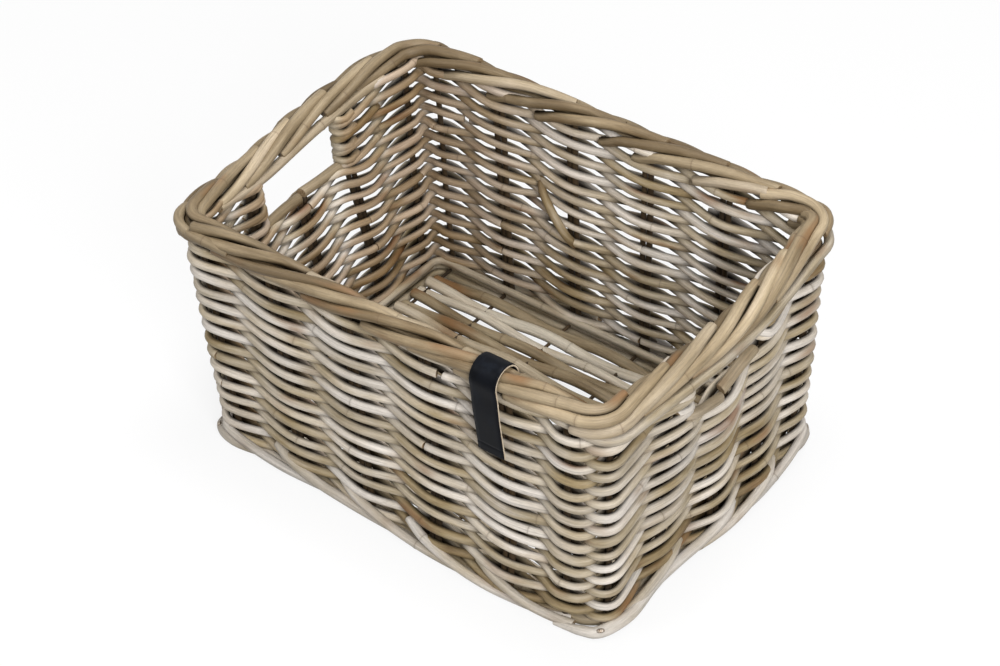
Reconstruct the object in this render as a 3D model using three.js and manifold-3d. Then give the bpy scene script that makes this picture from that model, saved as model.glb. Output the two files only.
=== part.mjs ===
// A bicycle basket of weathered rattan: an open box, wider at the rim than at the foot.
// Rows of weavers pass in front of one pair of upright stakes and behind the next.
// Hoops hold the walls at the rim and the foot, and each short wall has a handle opening.
import * as THREE from 'three';
import { mergeVertices } from 'three/addons/utils/BufferGeometryUtils.js';
import Module from 'manifold-3d';

const wasm = await Module();
wasm.setup();

// Driving dimensions in millimetres. X runs along the long walls and +Z is up.
const CLEARANCE = 0.3; // between neighbouring pieces
const FOOT_LENGTH = 388; // between the middles of the short walls, at the ground
const FOOT_WIDTH = 280; // between the middles of the long walls, at the ground
const RIM_LENGTH = 409; // the same two at the rim
const RIM_WIDTH = 292;
const RIM_LEVEL = 227.4; // middle of the two lower rim hoops

const STAKE_DIAMETER = 5.5;
const PAIR_GAP = 0.6; // between the two legs of a paired stake
const LONG_WALL_STAKES = 4; // pairs between the corner stakes
const SHORT_WALL_STAKES = 3;

const WEAVER_DIAMETER = 6.4;
const ROW_GAP = 0.85; // between one row of weaving and the next
const CORNER_GAP = 1; // between the weaving of two walls at a corner

const RIM_ROD_DIAMETER = 10.8;
const HANDLE_ROD_DIAMETER = 9; // outer border rod of the short sides
const HANDLE_ROD_RISE = Math.PI / 6; // how far it sits up round the outer hoop
const OPENING_HEIGHT = 44; // least height of a handle opening, from its sill to the rim
const SILL_DIAMETER = 9;

const FOOT_ROD_DIAMETER = 10;
const STICK_DIAMETER = 5.5; // sticks across the base
const FLOOR_ROD_WIDTH = 9;
const FLOOR_ROD_THICKNESS = 5.2;
const FLOOR_ROD_GAP = 1.5;

const NAIL_HEAD_DIAMETER = 4; // one nail at each corner of the foot
const NAIL_HEAD_THICKNESS = 1;
const NAIL_SHANK_DIAMETER = 1.6;
const NAIL_GRIP = 6; // how deep it goes into the base hoop

const STRAP_WIDTH = 25;
const STRAP_THICKNESS = 2;
const STRAP_PLACE = 109; // along the front wall, from its middle
const STRAP_DROP = 68; // outside, below the middle of the rim hoops
const STRAP_TUCK = 12; // inside, below the same level

const WEAVER_SIDES = 4;
const STAKE_SIDES = 6;
const ROD_SIDES = 8;
const NAIL_SIDES = 8;
const CORNER_STEPS = 5; // straight steps in a hoop's corner
const ARC_STEPS = 4; // straight steps where the strap bends over a rod

// Sizes that follow from the driving dimensions.
const UP = new THREE.Vector3(0, 0, 1);
const STAKE_RADIUS = STAKE_DIAMETER / 2;
const PAIR_OFFSET = STAKE_RADIUS + PAIR_GAP / 2;
const WEAVER_RADIUS = WEAVER_DIAMETER / 2;
const ROW_PITCH = WEAVER_DIAMETER + ROW_GAP;
const RIM_RADIUS = RIM_ROD_DIAMETER / 2;
const FOOT_RADIUS = FOOT_ROD_DIAMETER / 2;

// A weaver turns back round an end stake in three straight steps of 60 degrees.
const TURN = Math.PI / 6;
const turnRadius = (core, cover) => (core + CLEARANCE + cover) / Math.cos(TURN);
const WALL_TURN = turnRadius(STAKE_RADIUS, WEAVER_RADIUS);
const WALL_HALF_THICKNESS = WALL_TURN + WEAVER_RADIUS;
const CORNER_RADIUS = (2 * WALL_HALF_THICKNESS + CORNER_GAP) / Math.SQRT2;

// The foot hoops lie on one flat side of their eight, so their faces are this far from their middle.
const FOOT_MIDDLE = FOOT_RADIUS * Math.cos(Math.PI / ROD_SIDES);
const FOOT_TOP = 2 * FOOT_MIDDLE;
const HOOP_OFFSET = STAKE_RADIUS + CLEARANCE + RIM_RADIUS;
const TOP_HOOP_RISE = Math.sqrt((RIM_ROD_DIAMETER + CLEARANCE) ** 2 - HOOP_OFFSET ** 2);
const STAKE_TOP = RIM_LEVEL + TOP_HOOP_RISE - RIM_RADIUS - CLEARANCE;
const RIM_UNDERSIDE = RIM_LEVEL - RIM_RADIUS;

const FIRST_ROW = FOOT_TOP + CLEARANCE + WEAVER_RADIUS;
const LAST_ROW = RIM_UNDERSIDE - CLEARANCE - WEAVER_RADIUS;
const ROW_COUNT = Math.floor((LAST_ROW - FIRST_ROW) / ROW_PITCH) + 1;
const rowLevel = (row) => FIRST_ROW + row * ROW_PITCH;
const SILL_STACK = SILL_DIAMETER + CLEARANCE + WEAVER_RADIUS;
const SILL_ROW = Math.floor((RIM_UNDERSIDE - OPENING_HEIGHT - SILL_STACK - FIRST_ROW) / ROW_PITCH);
const SILL_LEVEL = rowLevel(SILL_ROW) + WEAVER_RADIUS + CLEARANCE + SILL_DIAMETER / 2;

const between = (foot, rim) => (z) => (foot + ((rim - foot) * z) / RIM_LEVEL) / 2;
const halfLength = between(FOOT_LENGTH, RIM_LENGTH);
const halfWidth = between(FOOT_WIDTH, RIM_WIDTH);

// Each wall places a point by its distance along the wall, outward from the wall's middle, and up.
const walls = {
  front: {
    half: halfLength,
    stakes: LONG_WALL_STAKES,
    out: new THREE.Vector3(0, -1, 0),
    at: (u, n, z) => new THREE.Vector3(u, -halfWidth(z) - n, z),
  },
  right: {
    half: halfWidth,
    stakes: SHORT_WALL_STAKES,
    out: new THREE.Vector3(1, 0, 0),
    at: (u, n, z) => new THREE.Vector3(halfLength(z) + n, u, z),
  },
  back: {
    half: halfLength,
    stakes: LONG_WALL_STAKES,
    out: new THREE.Vector3(0, 1, 0),
    at: (u, n, z) => new THREE.Vector3(-u, halfWidth(z) + n, z),
  },
  left: {
    half: halfWidth,
    stakes: SHORT_WALL_STAKES,
    out: new THREE.Vector3(-1, 0, 0),
    at: (u, n, z) => new THREE.Vector3(-halfLength(z) - n, -u, z),
  },
};

const basket = new THREE.Group();

const rattan = (colour) => new THREE.MeshStandardMaterial({ color: colour, roughness: 0.75, metalness: 0 });
const weaverFinish = () => rattan(0xa39580);
const stakeFinish = () => rattan(0x8a7a62);
const rimFinish = () => rattan(0x93805f);
const baseFinish = () => rattan(0x867660);
const steel = { color: 0x6b665f, roughness: 0.5, metalness: 1 };
const nailFinish = () => new THREE.MeshStandardMaterial(steel);
const leather = { color: 0x14161b, roughness: 0.55, metalness: 0 };
const leatherFinish = () => new THREE.MeshStandardMaterial(leather);

function add(name, geometry, material) {
  const mesh = new THREE.Mesh(geometry, material);
  mesh.name = name;
  basket.add(mesh);
}

// A closed rod along a route, with one ring of corners at each point of the route.
function rod(route, { wide, high = wide, sides, spin = 0, up = UP, loop = false }) {
  const count = route.length;
  const position = [];
  route.forEach((point, i) => {
    const before = route[loop ? (i + count - 1) % count : Math.max(i - 1, 0)];
    const after = route[loop ? (i + 1) % count : Math.min(i + 1, count - 1)];
    const along = after.clone().sub(before).normalize();
    const across = along.clone().cross(up).normalize();
    const lift = across.clone().cross(along);
    for (let k = 0; k < sides; k++) {
      const angle = spin + (2 * Math.PI * k) / sides;
      const corner = point.clone();
      corner.addScaledVector(across, (wide / 2) * Math.cos(angle));
      corner.addScaledVector(lift, (high / 2) * Math.sin(angle));
      position.push(corner.x, corner.y, corner.z);
    }
  });
  const index = [];
  for (let i = 0; i < (loop ? count : count - 1); i++) {
    const here = i * sides;
    const next = ((i + 1) % count) * sides;
    for (let k = 0; k < sides; k++) {
      const beside = (k + 1) % sides;
      index.push(here + k, next + k, here + beside, here + beside, next + k, next + beside);
    }
  }
  if (!loop) {
    const end = (count - 1) * sides;
    for (let k = 1; k < sides - 1; k++) {
      index.push(0, k, k + 1, end, end + k + 1, end + k);
    }
  }
  const geometry = new THREE.BufferGeometry();
  geometry.setAttribute('position', new THREE.Float32BufferAttribute(position, 3));
  geometry.setIndex(index);
  geometry.computeVertexNormals();
  return geometry;
}

// The route of one weaver laid back and forth, row on row, in front of one column and behind the next.
// A column has its place along the row, its half spread and its number, which sets the side it is passed on.
function weaverRoute(place, rows, pitch, columns, core, cover) {
  const clear = core + CLEARANCE + cover;
  const turn = turnRadius(core, cover);
  const last = columns.length - 1;
  const gaps = columns.slice(1).map((column, i) => column.at(rows[0].level) - columns[i].at(rows[0].level));
  const slope = (2 * turn) / Math.min(...gaps);
  const route = [];
  rows.forEach((row, r) => {
    const forward = r % 2 === 0;
    columns.forEach((_, step) => {
      const c = forward ? step : last - step;
      const column = columns[c];
      const side = (column.number + row.number) % 2 ? -1 : 1;
      const u = column.at(row.level);
      const ends = c === 0 ? -1 : Number(c === last);
      if (!ends) {
        const depth = clear * Math.hypot(1, slope) + column.spread * slope;
        route.push(place(u, side * depth, row.level));
        return;
      }
      const tip = u + ends * column.spread;
      const depth = Math.max(turn, clear * Math.hypot(1, slope) + 2 * column.spread * slope);
      route.push(place(tip, side * depth, row.level));
      if (step === last && r < rows.length - 1) {
        const reach = tip + ends * clear;
        const swing = side * turn * Math.sin(TURN);
        route.push(place(reach, swing, row.level + pitch / 3));
        route.push(place(reach, -swing, row.level + (2 * pitch) / 3));
      }
    });
  });
  return route;
}

// Columns of one wall: a corner stake at each end and paired stakes at even steps between them.
function wallColumns(wall) {
  const steps = wall.stakes + 1;
  return Array.from({ length: steps + 1 }, (_, number) => ({
    number,
    spread: number % steps ? PAIR_OFFSET : 0,
    at: (z) => ((2 * number) / steps - 1) * (wall.half(z) - CORNER_RADIUS),
  }));
}

// The columns beside a short wall's handle opening.
const OPENING_FROM = Math.ceil((SHORT_WALL_STAKES + 1) / 2) - 1;
const OPENING_TO = SHORT_WALL_STAKES + 1 - OPENING_FROM;

function addWeave(name, wall, columns, firstRow, lastRow) {
  const rows = Array.from({ length: lastRow - firstRow + 1 }, (_, i) => ({
    number: firstRow + i,
    level: rowLevel(firstRow + i),
  }));
  const route = weaverRoute(wall.at, rows, ROW_PITCH, columns, STAKE_RADIUS, WEAVER_RADIUS);
  add(name, rod(route, { wide: WEAVER_DIAMETER, sides: WEAVER_SIDES }), weaverFinish());
}

// A pair of upright stakes is one rod bent double at the foot.
function addPairedStake(name, wall, column, top) {
  const bend = FOOT_TOP + CLEARANCE + STAKE_RADIUS + PAIR_OFFSET;
  const leg = (side, z) => wall.at(column.at(z) + side * PAIR_OFFSET, 0, z);
  const turn = (angle) => {
    const z = bend - PAIR_OFFSET * Math.sin(angle);
    return wall.at(column.at(z) + PAIR_OFFSET * Math.cos(angle), 0, z);
  };
  const route = [leg(1, top), leg(1, bend)];
  route.push(turn(Math.PI / 3), turn((2 * Math.PI) / 3));
  route.push(leg(-1, bend), leg(-1, top));
  add(name, rod(route, { wide: STAKE_DIAMETER, sides: STAKE_SIDES, up: wall.out }), stakeFinish());
}

function addCornerStake(name, wall, column) {
  const route = [FOOT_TOP + CLEARANCE, STAKE_TOP].map((z) => wall.at(column.at(z), 0, z));
  add(name, rod(route, { wide: STAKE_DIAMETER, sides: STAKE_SIDES, up: wall.out }), stakeFinish());
}

function addStakes(name, wall, columns, topOf) {
  columns.forEach((column) => {
    if (column.spread) {
      addPairedStake(`${name}_stake_${column.number}`, wall, column, topOf(column));
    } else {
      addCornerStake(`${name}_corner_stake_${column.number ? 2 : 1}`, wall, column);
    }
  });
}

function addSill(name, wall, columns) {
  const edge = columns[OPENING_TO];
  const reach = PAIR_OFFSET + STAKE_RADIUS + WEAVER_DIAMETER + 2 * CLEARANCE;
  const end = edge.at(SILL_LEVEL) - reach;
  const route = [-end, end].map((u) => wall.at(u, 0, SILL_LEVEL));
  add(name, rod(route, { wide: SILL_DIAMETER, sides: ROD_SIDES }), rimFinish());
}

function addLongWall(name) {
  const wall = walls[name];
  const columns = wallColumns(wall);
  addStakes(name, wall, columns, () => STAKE_TOP);
  addWeave(`${name}_weave`, wall, columns, 0, ROW_COUNT - 1);
}

function addShortWall(name) {
  const wall = walls[name];
  const columns = wallColumns(wall);
  const isOverSill = (column) => column.number <= OPENING_FROM || column.number >= OPENING_TO;
  const underSill = SILL_LEVEL - SILL_DIAMETER / 2 - CLEARANCE;
  addStakes(name, wall, columns, (column) => (isOverSill(column) ? STAKE_TOP : underSill));
  addSill(`${name}_handle_sill`, wall, columns);
  addWeave(`${name}_weave_lower`, wall, columns, 0, SILL_ROW);
  addWeave(`${name}_weave_upper_1`, wall, columns.slice(0, OPENING_FROM + 1), SILL_ROW + 1, ROW_COUNT - 1);
  addWeave(`${name}_weave_upper_2`, wall, columns.slice(OPENING_TO), SILL_ROW + 1, ROW_COUNT - 1);
}

// A hoop is a rounded rectangle lying level.
function hoopRoute(halfX, halfY, radius, z) {
  const route = [];
  for (let corner = 0; corner < 4; corner++) {
    const turn = (corner * Math.PI) / 2;
    const middle = new THREE.Vector2(
      (halfX - radius) * Math.sign(Math.cos(turn + Math.PI / 4)),
      (halfY - radius) * Math.sign(Math.sin(turn + Math.PI / 4)),
    );
    for (let step = 0; step <= CORNER_STEPS; step++) {
      const angle = turn + (step * Math.PI) / 2 / CORNER_STEPS;
      const x = middle.x + radius * Math.cos(angle);
      const y = middle.y + radius * Math.sin(angle);
      route.push(new THREE.Vector3(x, y, z));
    }
  }
  return route;
}

// A hoop that follows the walls at a level, set outward by an offset.
function hoop(level, offset, z, diameter, radius = CORNER_RADIUS + offset) {
  const route = hoopRoute(halfLength(level) + offset, halfWidth(level) + offset, radius, z);
  return rod(route, { wide: diameter, sides: ROD_SIDES, spin: Math.PI / ROD_SIDES, loop: true });
}

function addRim() {
  const rimHoop = (offset, z) => hoop(RIM_LEVEL, offset, z, RIM_ROD_DIAMETER);
  add('rim_outer_hoop', rimHoop(HOOP_OFFSET, RIM_LEVEL), rimFinish());
  add('rim_inner_hoop', rimHoop(-HOOP_OFFSET, RIM_LEVEL), rimFinish());
  add('rim_top_hoop', rimHoop(0, RIM_LEVEL + TOP_HOOP_RISE), rimFinish());
}

// A short straight rod along each handle side thickens the border there.
function addHandleRod(name, wall) {
  const apart = RIM_RADIUS + HANDLE_ROD_DIAMETER / 2 + CLEARANCE;
  const out = HOOP_OFFSET + apart * Math.cos(HANDLE_ROD_RISE);
  const level = RIM_LEVEL + apart * Math.sin(HANDLE_ROD_RISE);
  const end = wall.half(RIM_LEVEL) - CORNER_RADIUS;
  const middle = wall.at(0, out, RIM_LEVEL);
  const route = [-end, end].map((y) => new THREE.Vector3(middle.x, y, level));
  add(name, rod(route, { wide: HANDLE_ROD_DIAMETER, sides: ROD_SIDES }), rimFinish());
}

// The base: a hoop inside the foot hoop carries sticks, and flat rods are woven round the sticks.
const BASE_HOOP_INSET = FOOT_ROD_DIAMETER + CLEARANCE;
const BASE_HOOP_CORNER = FOOT_ROD_DIAMETER;
const FLOOR_INSET = BASE_HOOP_INSET + FOOT_RADIUS + CLEARANCE;
const STICK_RADIUS = STICK_DIAMETER / 2;
const FLOOR_TURN = turnRadius(STICK_RADIUS, FLOOR_ROD_THICKNESS / 2);
const FLOOR_HALF_THICKNESS = FLOOR_TURN + FLOOR_ROD_THICKNESS / 2;
const STICK_LEVEL = Math.max(FOOT_TOP + STICK_RADIUS, FLOOR_HALF_THICKNESS) + CLEARANCE;
const FLOOR_PITCH = FLOOR_ROD_WIDTH + FLOOR_ROD_GAP;

function stickPlaces() {
  const end = halfLength(0) - FLOOR_INSET - FLOOR_HALF_THICKNESS;
  const inner = wallColumns(walls.front).slice(1, -1);
  return [-end, ...inner.map((column) => column.at(0)), end];
}

function asSolid(geometry) {
  const bare = geometry.clone();
  bare.deleteAttribute('normal');
  bare.deleteAttribute('uv');
  const merged = mergeVertices(bare);
  const vertProperties = new Float32Array(merged.attributes.position.array);
  const triVerts = new Uint32Array(merged.index.array);
  return new wasm.Manifold(new wasm.Mesh({ numProp: 3, vertProperties, triVerts }));
}

function asGeometry(solid) {
  const mesh = solid.getMesh();
  const geometry = new THREE.BufferGeometry();
  geometry.setAttribute('position', new THREE.Float32BufferAttribute(mesh.vertProperties, 3));
  geometry.setIndex(Array.from(mesh.triVerts));
  geometry.computeVertexNormals();
  return geometry;
}

// A nail at each corner runs inward through the foot hoop and ends in the base hoop.
const DIAGONAL = Math.SQRT2 - 1;
const FOOT_CORNER_INSET = CORNER_RADIUS * DIAGONAL;
const BASE_CORNER_INSET = BASE_HOOP_INSET * Math.SQRT2 + BASE_HOOP_CORNER * DIAGONAL;
const NAIL_LENGTH = BASE_CORNER_INSET - FOOT_CORNER_INSET + NAIL_GRIP;

// A round pin along a corner's diagonal, from a profile of radius and depth below the foot hoop's face.
function diagonalPin(profile, sideX, sideY) {
  const outline = profile.map(([radius, depth]) => new THREE.Vector2(radius, -depth));
  const geometry = new THREE.LatheGeometry(outline, NAIL_SIDES);
  const inset = FOOT_CORNER_INSET - FOOT_MIDDLE;
  const outward = new THREE.Vector3(sideX, sideY, 0).normalize();
  geometry.applyQuaternion(new THREE.Quaternion().setFromUnitVectors(new THREE.Vector3(0, 1, 0), outward));
  const corner = new THREE.Vector3(sideX * halfLength(0), sideY * halfWidth(0), FOOT_MIDDLE);
  const face = corner.addScaledVector(outward, -inset);
  return geometry.translate(face.x, face.y, face.z);
}

function addFootHoops() {
  let foot = asSolid(hoop(0, 0, FOOT_MIDDLE, FOOT_ROD_DIAMETER));
  let base = asSolid(hoop(0, -BASE_HOOP_INSET, FOOT_MIDDLE, FOOT_ROD_DIAMETER, BASE_HOOP_CORNER));
  const shank = NAIL_SHANK_DIAMETER / 2;
  const head = NAIL_HEAD_DIAMETER / 2;
  const nail = [
    [0, NAIL_LENGTH],
    [shank, NAIL_LENGTH - NAIL_SHANK_DIAMETER],
    [shank, -CLEARANCE],
    [head, -CLEARANCE],
    [head, -CLEARANCE - NAIL_HEAD_THICKNESS],
    [0, -CLEARANCE - NAIL_HEAD_THICKNESS],
  ];
  const bore = [
    [0, NAIL_LENGTH + CLEARANCE],
    [shank + CLEARANCE, NAIL_LENGTH + CLEARANCE],
    [shank + CLEARANCE, -FOOT_RADIUS],
    [0, -FOOT_RADIUS],
  ];
  [[-1, -1], [1, -1], [1, 1], [-1, 1]].forEach(([sideX, sideY], i) => {
    const hole = asSolid(diagonalPin(bore, sideX, sideY));
    foot = foot.subtract(hole);
    base = base.subtract(hole);
    add(`foot_nail_${i + 1}`, diagonalPin(nail, sideX, sideY), nailFinish());
  });
  add('foot_hoop', asGeometry(foot), baseFinish());
  add('base_hoop', asGeometry(base), baseFinish());
}

function addFloor() {
  const stickEnd = halfWidth(0) - WALL_HALF_THICKNESS - CLEARANCE;
  const places = stickPlaces();
  places.forEach((x, i) => {
    const route = [-stickEnd, stickEnd].map((y) => new THREE.Vector3(x, y, STICK_LEVEL));
    add(`base_stick_${i + 1}`, rod(route, { wide: STICK_DIAMETER, sides: STAKE_SIDES }), stakeFinish());
  });

  const floorHalf = halfWidth(0) - FLOOR_INSET - FLOOR_ROD_WIDTH / 2;
  const steps = Math.floor((2 * floorHalf) / FLOOR_PITCH);
  const rows = Array.from({ length: steps + 1 }, (_, number) => ({
    number,
    level: (number - steps / 2) * FLOOR_PITCH,
  }));
  const columns = places.map((x, number) => ({ number, spread: 0, at: () => x }));
  const place = (u, n, y) => new THREE.Vector3(u, y, STICK_LEVEL + n);
  const route = weaverRoute(place, rows, FLOOR_PITCH, columns, STICK_RADIUS, FLOOR_ROD_THICKNESS / 2);
  const size = { wide: FLOOR_ROD_THICKNESS, high: FLOOR_ROD_WIDTH };
  add('base_weave', rod(route, { ...size, sides: WEAVER_SIDES, up: walls.back.out }), baseFinish());
}

// The leather strap hangs down the front wall, bends over the rim hoops and tucks down inside.
function addStrap() {
  const bendRadius = RIM_RADIUS + CLEARANCE + STRAP_THICKNESS / 2;
  const lean = Math.atan2(HOOP_OFFSET, TOP_HOOP_RISE);
  const lowEnd = RIM_LEVEL - STRAP_DROP;
  const rimWall = halfWidth(RIM_LEVEL);
  const lowOut = halfWidth(lowEnd) - rimWall + WALL_HALF_THICKNESS + CLEARANCE + STRAP_THICKNESS / 2;
  const bends = [
    { out: HOOP_OFFSET, level: RIM_LEVEL, from: 0, to: lean },
    { out: 0, level: RIM_LEVEL + TOP_HOOP_RISE, from: lean, to: Math.PI - lean },
    { out: -HOOP_OFFSET, level: RIM_LEVEL, from: Math.PI - lean, to: Math.PI },
  ];
  const face = (offset) => {
    const points = [new THREE.Vector2(lowOut + offset, lowEnd)];
    for (const bend of bends) {
      for (let step = 0; step <= ARC_STEPS; step++) {
        const angle = bend.from + ((bend.to - bend.from) * step) / ARC_STEPS;
        const out = bend.out + (bendRadius + offset) * Math.cos(angle);
        points.push(new THREE.Vector2(out, bend.level + (bendRadius + offset) * Math.sin(angle)));
      }
    }
    points.push(new THREE.Vector2(-HOOP_OFFSET - bendRadius - offset, RIM_LEVEL - STRAP_TUCK));
    return points;
  };
  const outline = new THREE.Shape([...face(STRAP_THICKNESS / 2), ...face(-STRAP_THICKNESS / 2).reverse()]);
  const geometry = new THREE.ExtrudeGeometry(outline, { depth: STRAP_WIDTH, bevelEnabled: false });
  const turned = new THREE.Matrix4().makeBasis(walls.front.out, UP, walls.left.out);
  geometry.applyMatrix4(turned);
  geometry.translate(STRAP_PLACE + STRAP_WIDTH / 2, -rimWall, 0);
  add('label_strap', geometry, leatherFinish());
}

addLongWall('front');
addLongWall('back');
addShortWall('left');
addShortWall('right');
addRim();
addHandleRod('left_handle_rod', walls.left);
addHandleRod('right_handle_rod', walls.right);
addFootHoops();
addFloor();
addStrap();

export default basket;
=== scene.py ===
import math
import random

import bpy
import numpy as np
from mathutils import Matrix, Vector


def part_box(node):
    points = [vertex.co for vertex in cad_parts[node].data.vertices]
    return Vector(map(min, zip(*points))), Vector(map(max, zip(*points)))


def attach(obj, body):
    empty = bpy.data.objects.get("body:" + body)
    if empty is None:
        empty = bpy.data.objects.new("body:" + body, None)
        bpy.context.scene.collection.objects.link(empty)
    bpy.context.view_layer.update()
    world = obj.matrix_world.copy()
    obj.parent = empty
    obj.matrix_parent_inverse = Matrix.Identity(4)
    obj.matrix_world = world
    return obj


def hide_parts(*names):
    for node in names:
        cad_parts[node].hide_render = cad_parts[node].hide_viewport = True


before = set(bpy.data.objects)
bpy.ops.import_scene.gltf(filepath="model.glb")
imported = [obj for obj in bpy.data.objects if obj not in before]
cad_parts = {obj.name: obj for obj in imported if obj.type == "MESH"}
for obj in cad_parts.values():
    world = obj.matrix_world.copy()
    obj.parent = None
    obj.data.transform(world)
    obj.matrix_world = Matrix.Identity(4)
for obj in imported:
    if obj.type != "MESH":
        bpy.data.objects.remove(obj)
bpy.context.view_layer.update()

# A rectangular bicycle basket of woven rattan, dressed rod by rod. Lengths are in millimetres.
# The wall's mid-plane is walked by a column count: the upright stakes stand at whole numbers,
# anticlockwise seen from above, from the front wall's left end.
MM = 0.001


def node_box(*names):
    """Lowest and highest corner of some nodes of the frame, in millimetres."""
    boxes = [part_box(name) for name in names]
    return (np.min([box[0] for box in boxes], axis=0) / MM,
            np.max([box[1] for box in boxes], axis=0) / MM)


# Sizes read from the frame
FOOT_LOW, FOOT_HIGH = node_box("foot_hoop")
RIM_LOW, RIM_HIGH = node_box("rim_top_hoop")
STRAP_LOW, STRAP_HIGH = node_box("label_strap")
SILL_LOW, SILL_HIGH = node_box("left_handle_sill", "right_handle_sill")
BASE_LOW, BASE_HIGH = node_box("base_hoop")
STICK_LOW, STICK_HIGH = node_box("base_stick_4")
CAD_FOOT_ROD = 10.0  # diameters of the hoops there
CAD_RIM_ROD = 10.8
RIM_SEAT = 1.5  # how far the middle of the border lies above the walls
FOOT_HALF = (FOOT_HIGH - FOOT_LOW)[:2] / 2 - CAD_FOOT_ROD / 2
RIM_HALF = (RIM_HIGH - RIM_LOW)[:2] / 2 - CAD_RIM_ROD / 2
RIM_LEVEL = RIM_HIGH[2] - CAD_RIM_ROD - RIM_SEAT
RIM_CENTRE = RIM_LEVEL + RIM_SEAT
SILL_LEVEL = (SILL_LOW[2] + SILL_HIGH[2]) / 2

# Weave
CORNER = 19.0  # radius of the walls' corners
LONG_SPANS = 5  # spans between the columns of a wall
SHORT_SPANS = 4
COLUMNS = 2 * (LONG_SPANS + SHORT_SPANS) + 4
ROWS = 31
FIRST_ROW = 13.5
LAST_ROW = 226.6
ROW_PITCH = (LAST_ROW - FIRST_ROW) / (ROWS - 1)
WEAVER_RADIUS = 3.6
WEAVE_DEPTH = 6.6  # how far a weaver's middle swings out of the wall's mid-plane
SPLICE = 0.02  # gap between two rods of a row, in columns
STAKE_RADIUS = 2.7
PAIR_OFFSET = 3.0  # of each stake from the middle of its pair
STAKE_FOOT = 3.0  # height of the stakes' lower ends
SILL_STAKE_DROP = {"left": 1.0, "right": 18.0}  # how far below the sill the stakes under it end
HANDLE_SHIFT = {"left": 10.0, "right": 8.0}  # how far the handle openings lie off the middle
HANDLE_BOW = 6.5  # how far the short walls bow out and sag at the handles
HANDLE_SAG = 6.0
HANDLE_NARROW = 4.5  # how far the columns beside a handle lean into its opening
SILL_PRESS = 6.0  # how far the right sill presses down the rows under its near half
SILL_LIFT = 7.0  # how far the rows under the left sill rise to meet it
COLUMN_SPREAD = 0.05  # how much wider the middle spans of a long wall are
CORNER_SLIP = 0.2  # how far the columns at the near corner sit round towards the front
LOOSE_COLUMN = 3.35  # place of a wide gap in the back wall, with a loose rod beside it
LOOSE_LEVEL = 119.7
LOOSE_GAP = 4.6  # how far the rows above and below it part
LOOSE_REACH = 0.34  # and how far along the wall, in columns
LEFT_CORNER_OUT = 8.0  # how far the front left and the back right corner stand out under the rim
RIGHT_CORNER_OUT = 6.0
FRONT_FOOT_OUT = 8.0  # how far the foot bulges along the front and the right wall
RIGHT_FOOT_OUT = 11.0
LEFT_RIM_OUT = 5.0  # how far the far half of the left handle's rim stands out and up

# Strap
STRAP_WIDE = 25.0
STRAP_THICK = 2.0
STRAP_PRESS = 8.0  # a pressed line, above the lower end
STRAP_LEAN = -0.02
STRAP_ROUND = 0.4  # how far its long edges are rounded
STRAP_RIBS = (-0.7, -0.35, 0.0, 0.35, 0.7)  # places across it, as shares of half its width
STRAP_DROP = ((0.0, 11.6), (0.1, 12.0), (0.3, 13.0), (0.6, 14.6), (0.85, 15.2))  # share of rise, out

# Rim, foot and floor
RIM_STRANDS = 27
RIM_ROUND = 5.6  # strands that would close the round of the border
# How far out the border's middle lies, how far the strands lie from it outside and inside, their radius
LONG_RIM = {"out": 2.5, "turn": 7.2, "inner": 9.6, "rod": 4.7}
SHORT_RIM = {"out": 5.5, "turn": 7.6, "inner": 8.4, "rod": 4.9}
RIM_DROP = 4.5  # how far the strands' inner ends sink on the long walls
# Degrees round the border, from straight out over the top, where strands start and end
NEAR_START, NEAR_END = (-60, -35), (128, 156)  # on the front and the right wall
FAR_START, FAR_END = (40, 66), (205, 228)  # on the back and the left wall
INNER_END = (206, 226)  # of the strands that go on inside
HANDLE_ROD = {"out": 7.5, "low": -6.5, "rod": 4.4}  # how it hangs at the handles, and its radius
SILL_RADIUS = 4.6
FOOT_RADIUS = 4.2
RIM_CORE = 4.2  # radius of the rods inside the border
BOWED_ROD = 4.4  # radius of the short rods outside it
RIM_UNDER = 4.8  # radius of the rods under its inner side
CORNER_ROD = 5.4  # radius of the rod that wraps each corner of the foot
CORNER_ROD_OUT = 13.0
CORNER_ROD_LEVEL = 6.2
NAIL_TILT = math.radians(55)  # how far the nail heads face up
NAIL_HEAD = 2.6
NAIL_SHANK = 1.0
NAIL_SINK = 0.4
NAIL_OVAL = (1.3, 0.75)  # how the heads are stretched along the rod and squashed across it
NAIL_SIDES = 16
FLOOR_RODS = 22
FLOOR_WAVE = 2.7  # how far they rise and dip at the cross sticks
FLOOR_SIDE = 5.0  # height at which the walls bound the floor
HOLD_DOWN = 3.4  # radius of the rod that holds down the cross sticks

# Points of bent rods: columns along the wall, distance out, and height or rise
LOOSE_ROD = ((0.08, 0.0, 31.0), (0.0, -8.0, 24.5), (-0.14, -12.0, 13.0), (-0.28, -12.5, -1.0),
             (-0.36, -10.5, -11.0), (-0.43, -6.0, -20.0))
RIGHT_SILL = (((1.1, 3.0, -3.5), (1.21, 5.0, -5.5), (1.45, 5.0, -9.0), (1.67, 5.0, -11.7),
               (1.82, 5.0, -13.5)),
              ((1.92, 1.0, -11.3), (2.1, 1.0, -8.5), (2.27, 1.0, -5.5), (2.44, 1.0, -3.5),
               (2.68, 0.5, -3.8)))
LEFT_SILL = (((1.06, -1.0, 2.0), (1.3, -0.5, 2.5), (1.6, 0.0, 2.0), (1.97, 0.5, 2.7)),
             ((2.04, 0.0, 0.0), (2.35, 0.0, 0.4), (2.7, 0.5, -2.0), (2.94, 1.0, -3.5)))
FOOT_ROD = ((-0.35, 2.0, 24.0), (-0.1, 8.0, 20.0), (0.3, 10.0, 14.0), (0.75, 8.5, 7.4),
            (1.2, 6.5, 5.2), (1.7, 4.0, 5.1), (2.1, 2.0, 5.1))

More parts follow.
